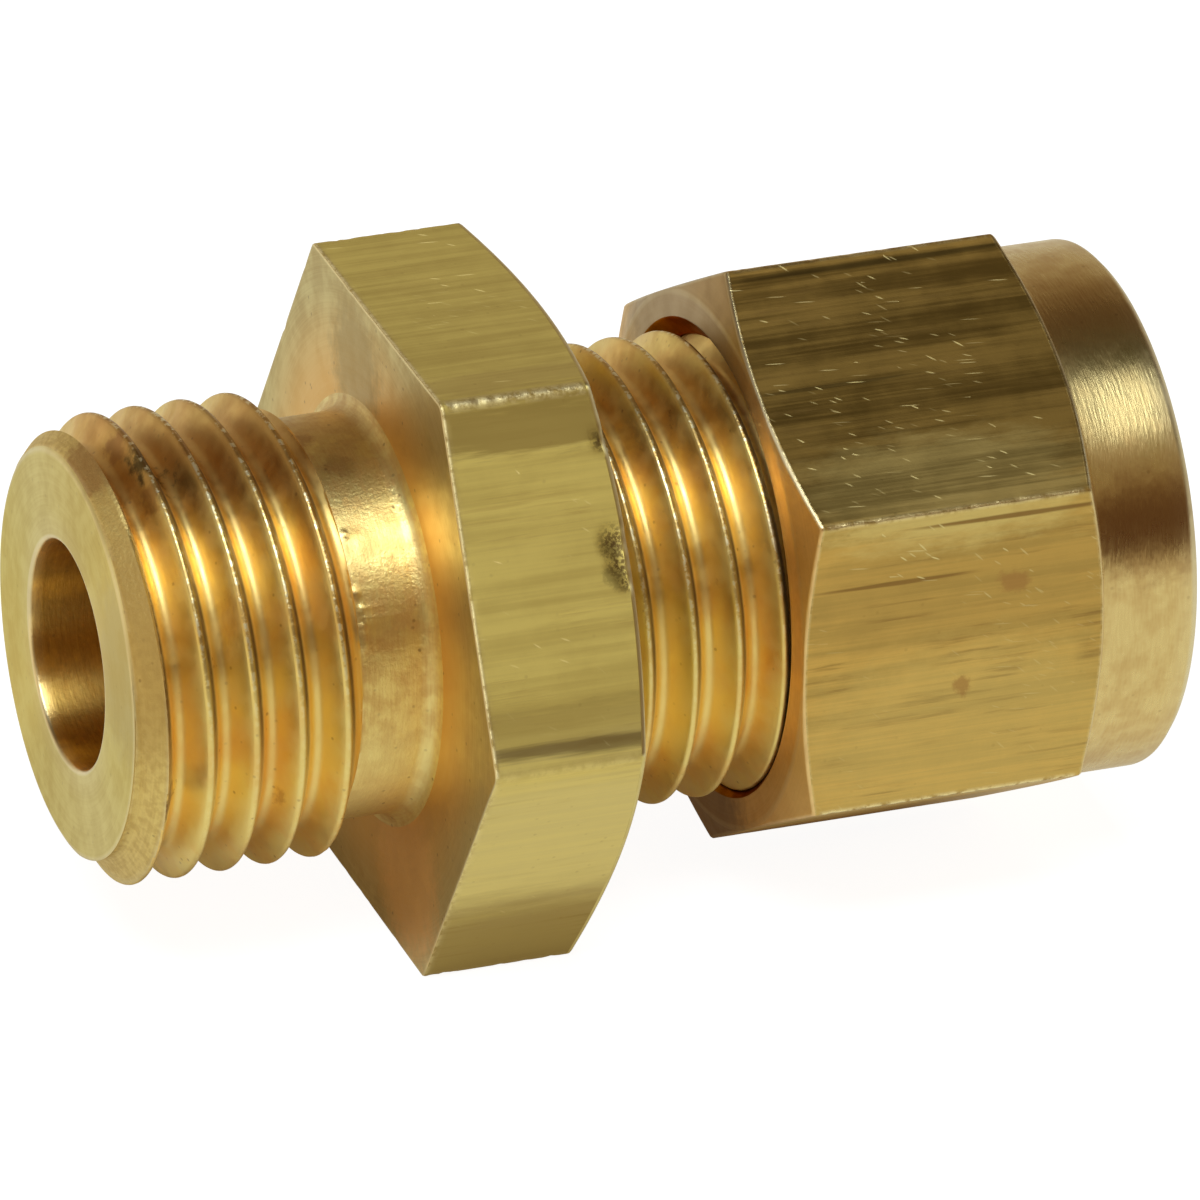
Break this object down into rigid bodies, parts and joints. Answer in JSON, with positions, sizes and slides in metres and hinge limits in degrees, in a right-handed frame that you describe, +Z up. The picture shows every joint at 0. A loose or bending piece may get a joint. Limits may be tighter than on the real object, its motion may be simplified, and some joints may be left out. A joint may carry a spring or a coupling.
{
  "type": "male stud compression coupling",
  "caption": "Straight brass coupling: threaded stud and hexagon flange one side, compression nut with an inner olive for plain tube on the other.",
  "frame": {"origin": "on the axis of the waterway, in the face of the hexagon flange that seats against the port", "axes": "+X along the tube, from the threaded stud towards the nut; +Z up, square to a flat of the flange; +Y completes a right-handed frame, towards a corner of the flange"},
  "size_m": [0.031, 0.0208, 0.018],
  "materials": {
    "body_brass": "bright drawn and turned brass, clean and uncoated",
    "nut_brass": "drawn brass, slightly darkened and scratched from handling, with a smooth turned collar",
    "olive_brass": "soft turned brass, clean"
  },
  "bodies": {
    "body": {"coupling_body": "body_brass"},
    "olive": {"olive": "olive_brass"},
    "nut": {"compression_nut": "nut_brass"}
  },
  "joints": [
    {"name": "nut_travel", "type": "slide", "parent": "body", "child": "olive", "axis": [1, 0, 0], "range_m": [-0.00023, 0.00335]},
    {"name": "nut_turn", "type": "hinge", "parent": "olive", "child": "nut", "pos_m": [0.0142, 0, 0], "axis": [1, 0, 0], "range_deg": [-60, 900]}
  ],
  "couplings": [
    {"joint": "nut_travel", "follows": "nut_turn", "m_per_rad": 0.00021279}
  ]
}
